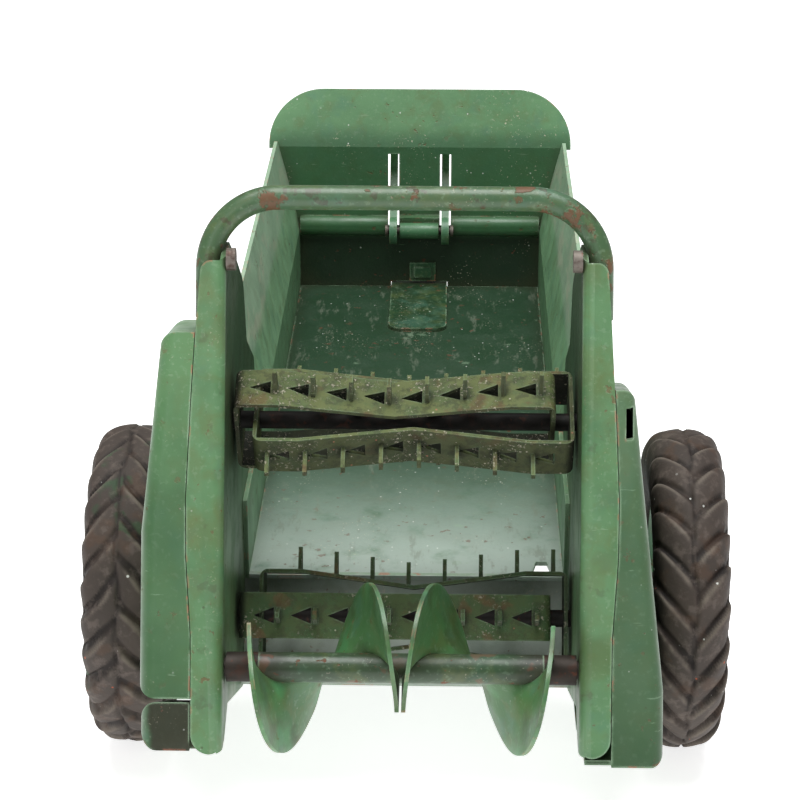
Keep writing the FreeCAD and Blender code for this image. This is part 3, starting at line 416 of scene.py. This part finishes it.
def tyre_rubber(name, seed, rubs):
    """Dusty moulded rubber: pads lighter than grooves, partly dust and partly painted shade, painted shade
    in the hollows, and a pale line on each pad's raised edge.
    """
    coat = Coat(name, linear(42, 36, 33), 0.72, seed=seed)
    coat.shader.inputs["Specular IOR Level"].default_value = 0.35
    pad = coat.add("ShaderNodeAttribute")
    pad.attribute_name = "pad"
    rim = coat.add("ShaderNodeAttribute")
    rim.attribute_name = "ridge"
    coat.paint(coat.ramp(coat.noise(90, 4), 0.4, 0.65), linear(74, 62, 54), 0.6)
    # Pads lighter than grooves: partly dust on the pads, partly painted shade in the grooves.
    coat.paint(pad.outputs["Fac"], linear(80, 71, 65), 0.58)
    coat.paint(coat.ramp(coat.noise(380, 5, 0.65), 0.5, 0.66), linear(118, 106, 98), 0.35)
    coat.paint(coat.ramp(coat.noise(140, 4), 0.55, 0.68), linear(92, 66, 48), 0.35)
    coat.paint(coat.maths("MULTIPLY", rim.outputs["Fac"], coat.ramp(coat.noise(200, 3), 0.35, 0.6)),
               linear(140, 130, 118), 0.45)
    # Painted shade in the grooves and hollows.
    coat.paint(coat.hollows(0.004), linear(22, 19, 18), 0.75)
    if rubs:
        smear = coat.maths("MULTIPLY", pad.outputs["Fac"], coat.ramp(coat.noise(85, 3), 0.58, 0.63))
        coat.paint(smear, DEEP_GREEN, rubs)
    coat.paint(coat.specks(420, 0.14, 0.1), WHITE, 0.7)
    coat.paint(coat.specks(360, 0.12, 0.08), linear(196, 92, 52), 0.7)
    coat.raise_by(coat.noise(420, 5, 0.65), 0.5)
    coat.raise_by(coat.noise(1500, 3), 0.3)
    return coat.done(0.00022)


def old_steel(name, seed, rust=0.5, colour=STEEL):
    """Dull bare steel under two sizes of rust, with painted shade in its hollows."""
    coat = Coat(name, colour, 0.45, metal=0.5, seed=seed)
    coat.paint(coat.ramp(coat.noise(260, 5, 0.65), 0.5, 0.62), DARK_RUST, rust)
    coat.paint(coat.ramp(coat.noise(500, 4), 0.58, 0.66), RUST, rust * 0.7)
    # Painted shade in the hollows.
    coat.paint(coat.hollows(0.004), SHADE_BLACK, 0.6)
    coat.roughen(coat.noise(300, 4), 0.75)
    coat.raise_by(coat.noise(600, 4), 0.6)
    return coat.done(0.0002)


def belt_rubber(name):
    """Matt black rubber with dusty patches."""
    coat = Coat(name, linear(30, 29, 28), 0.68)
    coat.paint(coat.ramp(coat.noise(300, 4), 0.45, 0.65), linear(66, 62, 58), 0.5)
    coat.raise_by(coat.noise(900, 4), 0.6)
    return coat.done(0.0002)


def rotor_axis(joint):
    """Where a joint's axis lies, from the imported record."""
    place = next(entry for entry in frame["joints"] if entry["name"] == joint)["pos_m"]
    return (0.0, place[1], place[2])


UPPER = rotor_axis("upper_beater_spin")
LOWER = rotor_axis("lower_beater_spin")


def finishes():
    """The material of each CAD node, by node name or by the start of it. The first match counts."""
    upper = gritty("upper_beater_grit", 0.11, linear(102, 112, 64), UPPER, 0.6)
    # The lower beater's darker base colour is painted shade on the same enamel as the upper one.
    lower = gritty("lower_beater_grit", 0.23, linear(66, 84, 44), LOWER, 0.4)
    blades = enamel("paddle_enamel", linear(74, 118, 70), 0.31, blotch=0.3, tint=0.45, edge_wear_and_highlight=0.5, dust=0.15,
                    layers=blade_layers)
    lever = enamel("lever_enamel", linear(74, 122, 84), 0.83, edge_wear_and_highlight=0.6)
    return (
        ("box_floor", enamel("floor_enamel", linear(112, 146, 122), 0.1, blotch=0.35, dust=0.7, painted_hollow_shade=0.4,
                             layers=floor_layers)),
        ("wall_left", enamel("wall_left_enamel", linear(146, 190, 148), 0.2, blotch=0.25,
                             layers=wall_layers)),
        ("wall_right", enamel("wall_right_enamel", linear(138, 184, 140), 0.3, blotch=0.25,
                              layers=wall_layers)),
        ("front_board", enamel("board_enamel", linear(98, 142, 98), 0.4, blotch=0.25, dust=0.7,
                               layers=board_layers)),
        ("beater_pan", enamel("pan_enamel", linear(176, 188, 176), 0.5, blotch=0.25, tint=0.2,
                              dust=0.5, painted_hollow_shade=0.4)),
        ("arch_rod", enamel("arch_enamel", linear(70, 98, 66), 0.6, blotch=0.35, layers=arch_layers)),
        ("arch_lugs", old_steel("lug_rust", 0.7, 0.8)),
        ("end_frame_left", enamel("frame_left_enamel", GREEN, 0.8, layers=frame_layers)),
        ("end_frame_right", enamel("frame_right_enamel", GREEN, 0.9, layers=frame_layers)),
        ("drive_cover_left", enamel("cover_left_enamel", linear(94, 136, 90), 1.0, blotch=0.35,
                                    tint=0.2, rust=0.3, edge_wear_and_highlight=1.0, layers=cover_layers)),
        ("drive_cover_right", enamel("cover_right_enamel", linear(92, 122, 88), 1.1, blotch=0.3,
                                     tint=0.2, rust=0.3, edge_wear_and_highlight=1.0, layers=cover_layers)),
        ("cover_tail_left", enamel("tail_enamel", linear(66, 100, 66), 1.2, layers=tail_layers)),
        ("frame_rivets", enamel("rivet_enamel", linear(82, 138, 98), 1.3, edge_wear_and_highlight=1.0)),
        ("floor_strap", enamel("strap_enamel", linear(40, 66, 42), 1.4, dust=0.6)),
        ("board_clip", enamel("clip_enamel", linear(44, 82, 54), 1.5)),
        ("rim_", enamel("rim_enamel", linear(90, 148, 104), 1.6, rust=0.8)),
        ("tongue", enamel("tongue_enamel", linear(80, 140, 98), 1.7, rust=0.8, edge_wear_and_highlight=1.0)),
        ("lever_pin", old_steel("pin_rust", 1.8)),
        ("lever_", lever),
        ("upper_beater_loop", upper),
        ("lower_beater_loop", lower),
        ("paddle_", blades),
        ("widespread_tube", enamel("tube_enamel", linear(44, 66, 38), 0.41, tint=0.4, rust=0.8,
                                   layers=tube_layers)),
        ("widespread_collar", old_steel("collar_rust", 1.9, 0.8, linear(52, 44, 38))),
        ("upper_beater_shaft", old_steel("dark_shaft", 2.3, 0.3, linear(30, 27, 24))),
        ("lower_beater_shaft", old_steel("dark_shaft_low", 2.4, 0.3, linear(30, 27, 24))),
        ("tyre_left", tyre_rubber("tyre_left_rubber", 2.0, 0.5)),
        ("tyre_right", tyre_rubber("tyre_right_rubber", 2.1, 0.0)),
        ("drive_belt", belt_rubber("drive_belt_rubber")),
        ("", old_steel("plain_steel", 2.2)),
    )


FINISHES = finishes()


def finish_of(name):
    """The material of the first entry in FINISHES that this node's name starts with."""
    return next(material for start, material in FINISHES if name.startswith(start))


def dress(piece, material):
    piece.data.materials.clear()
    piece.data.materials.append(material)


WELD_DISTANCE = 0.000002
SHARP_ANGLE = math.radians(35)
ROUNDED = {
    "front_board": 0.0003, "wall_left": 0.0003, "wall_right": 0.0003, "end_frame_left": 0.0003,
    "end_frame_right": 0.0003, "upper_beater_loop_left": 0.0002, "upper_beater_loop_right": 0.0002,
    "lower_beater_loop_left": 0.0002, "lower_beater_loop_right": 0.0002, "lever_knuckle": 0.0003,
    "tongue": 0.0002, "board_clip": 0.0001, "floor_strap": 0.0001, "paddle_left_outer": 0.00015,
    "paddle_left_inner": 0.00015, "paddle_right_inner": 0.00015, "paddle_right_outer": 0.00015,
}


def soften(piece, width):
    """Round a CAD node's sharp edges with modifiers, which leave its own mesh as it is."""
    weld = piece.modifiers.new("Weld", "WELD")
    weld.merge_threshold = WELD_DISTANCE
    bevel = piece.modifiers.new("Bevel", "BEVEL")
    bevel.width = width
    bevel.segments = 2
    bevel.limit_method = "ANGLE"
    bevel.angle_limit = SHARP_ANGLE


for node_name, node in nodes.items():
    dress(node, finish_of(node_name))


# ---------------------------------------------------------------- tyres

LUGS = 24
LUG_STEPS = 20
SEAM_ROWS = 44
SWEEP = 1.05
SHOULDER_DEPTH = 0.0019
CENTRE_DEPTH = 0.0008
SEAM_DEPTH = 0.0004
SEAM_WIDTH = 0.00035
SMOOTHINGS = 6
SCALLOP = 0.1


def smooth(value, start, end):
    """Zero up to start, one from end, and an eased way between, for arrays."""
    share = np.clip((value - start) / (end - start), 0.0, 1.0)
    return share * share * (3 - 2 * share)


def tyre_outline(half, outer, inner, count):
    """Half the cross-section from seam to bead as (x, r), eased through a few points."""
    points = np.array([(0.0, outer), (0.3 * half, outer - 0.00015), (0.58 * half, outer - 0.0006),
                       (0.8 * half, outer - 0.0016), (0.94 * half, outer - 0.0034),
                       (half, outer - 0.0062), (0.985 * half, outer - 0.0092),
                       (0.9 * half, inner + 0.0016), (0.78 * half, inner)])
    reach = np.concatenate([[0], np.cumsum(np.hypot(*np.diff(points, axis=0).T))])
    fine = np.linspace(0, reach[-1], count)
    smoothed = [np.interp(fine, reach, points[:, k]) for k in (0, 1)]
    for _ in range(SMOOTHINGS):
        for line in smoothed:
            line[1:-1] = (line[:-2] + 2 * line[1:-1] + line[2:]) / 4
    return smoothed[0], smoothed[1], fine / reach[-1]


def tread(across, angle, side, lean):
    """(height, pad, ridge) of the moulded tread, height 1 on a pad's crest and 0 in a groove."""
    phase = LUGS * angle / (2 * math.pi) - lean * SWEEP * across
    phase = phase + 0.5 * (side > 0)
    wave = 0.04 * np.sin(7 * angle + 2 * side) + 0.03 * np.sin(17 * angle + across * 3)
    part = np.mod(phase + wave, 1.0)
    rise = smooth(part, 0.1, 0.26)
    fall = 1 - 0.55 * smooth(part, 0.3, 0.98)
    drop = 1 - smooth(part, 0.93, 1.0)
    height = rise * fall * drop
    ridge = smooth(part, 0.14, 0.24) * (1 - smooth(part, 0.28, 0.4))
    pad = smooth(part, 0.16, 0.3) * (1 - smooth(part, 0.9, 0.99))
    return height, pad, ridge


def tyre(name, lean):
    """A moulded tyre in the CAD tyre's place: two rows of swept pads meeting at a wandering seam.

    lean is 1 or -1, the way the pads lean, and the two wheels mirror each other.
    """
    low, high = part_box("tyre_" + name)
    middle = (low[0] + high[0]) / 2
    half = (high[0] - low[0]) / 2
    outer = (high[2] - low[2]) / 2
    rim_low, rim_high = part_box("rim_" + name)
    inner = (rim_high[2] - rim_low[2]) / 2
    steps = LUGS * LUG_STEPS
    angle = np.linspace(0, 2 * math.pi, steps, endpoint=False)
    x_half, r_half, share = tyre_outline(half, outer, inner, SEAM_ROWS)
    rows = []
    pads = []
    ridges = []
    for side in (-1, 1):
        order = range(SEAM_ROWS - 1, -1, -1) if side < 0 else range(1, SEAM_ROWS)
        for k in order:
            across = min(1.0, x_half[k] / half)
            height, pad, ridge = tread(across, angle, side, lean)
            on_tread = 1 - smooth(share[k], 0.5, 0.66)
            depth = CENTRE_DEPTH + (SHOULDER_DEPTH - CENTRE_DEPTH) * smooth(across, 0.1, 0.8)
            seam_shift = 0.0004 * np.sin(LUGS * angle / 2) + 0.0003 * np.sin(5 * angle)
            seam = np.exp(-(((side * x_half[k] - seam_shift) / SEAM_WIDTH) ** 2))
            sunk = depth * on_tread * (1 - height) + SEAM_DEPTH * seam * on_tread
            radius = r_half[k] - sunk
            scallop = (1 - smooth(share[k], 0.52, 0.74)) * (1 - height) * smooth(across, 0.75, 1.0)
            squeeze = 1 - SCALLOP * scallop
            x = middle + side * x_half[k] * squeeze
            rows.append(np.stack([x, AXLE.y + radius * np.cos(angle), AXLE.z + radius * np.sin(angle)], 1))
            pads.append(pad * on_tread * (1 - seam))
            ridges.append(ridge * on_tread * smooth(across, 0.05, 0.2))
    count = len(rows)
    verts = np.concatenate(rows)
    faces = []
    for row in range(count):
        after = (row + 1) % count
        for k in range(steps):
            more = (k + 1) % steps
            faces.append((row * steps + k, row * steps + more, after * steps + more, after * steps + k))
    mesh = bpy.data.meshes.new("tread_" + name)
    mesh.from_pydata(verts.tolist(), [], faces)
    for label, values in (("pad", pads), ("ridge", ridges)):
        layer = mesh.attributes.new(label, "FLOAT", "POINT")
        layer.data.foreach_set("value", np.concatenate(values).astype(np.float32))
    mesh.polygons.foreach_set("use_smooth", [True] * len(faces))
    mesh.validate()
    mesh.update()
    piece = bpy.data.objects.new("tread_" + name, mesh)
    bpy.context.collection.objects.link(piece)
    dress(piece, finish_of("tyre_" + name))
    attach(piece, "wheel_set")
    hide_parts("tyre_" + name)


tyre("left", 1)
tyre("right", -1)

for node_name, width in ROUNDED.items():
    soften(nodes[node_name], width)


# ---------------------------------------------------------------- floor, light and camera

def studio_floor():
    """A wide white plane that glows a little, so that it stays white under soft light."""
    bpy.ops.mesh.primitive_plane_add(size=8.0, location=(0.0, 0.0, 0.0))
    floor = bpy.context.object
    floor.name = "studio_floor"
    coat = Coat("studio_paper", linear(250, 250, 250), 0.9)
    coat.shader.inputs["Specular IOR Level"].default_value = 0.1
    coat.shader.inputs["Emission Color"].default_value = (1.0, 1.0, 1.0, 1.0)
    coat.shader.inputs["Emission Strength"].default_value = 0.76
    dress(floor, coat.done())


def area_light(name, place, aim, size, power):
    """A soft round lamp at place, turned to aim."""
    data = bpy.data.lights.new(name, "AREA")
    data.shape = "DISK"
    data.size = size
    data.energy = power
    light = bpy.data.objects.new(name, data)
    bpy.context.collection.objects.link(light)
    light.location = place
    light.rotation_euler = (Vector(aim) - Vector(place)).to_track_quat("-Z", "Y").to_euler()


def world_light(strength):
    world = bpy.data.worlds.new("soft_room")
    world.use_nodes = True
    back = world.node_tree.nodes["Background"]
    back.inputs["Color"].default_value = (1.0, 1.0, 1.0, 1.0)
    back.inputs["Strength"].default_value = strength
    bpy.context.scene.world = world


EYE = (0.0088, AXLE.y - 0.4534, AXLE.z + 0.231)
EYE_TILT = math.radians(67.4)
EYE_TURN = math.radians(1.31)
LENS = 108.0


def camera():
    """The photograph's view: from behind and above, almost on the middle plane."""
    data = bpy.data.cameras.new("camera")
    data.sensor_width = 36.0
    data.lens = LENS
    data.clip_start = 0.01
    eye = bpy.data.objects.new("camera", data)
    bpy.context.collection.objects.link(eye)
    eye.location = EYE
    eye.rotation_euler = (EYE_TILT, 0.0, EYE_TURN)
    bpy.context.scene.camera = eye


studio_floor()
world_light(0.24)
area_light("overhead", (0.0, AXLE.y - 0.06, 0.8), (0.0, AXLE.y, 0.05), 0.6, 6.5)
area_light("rear_soft", (-0.3, AXLE.y - 0.8, 0.6), (0.0, AXLE.y, 0.06), 0.5, 1.0)
camera()
bpy.context.scene.view_settings.view_transform = "Standard"
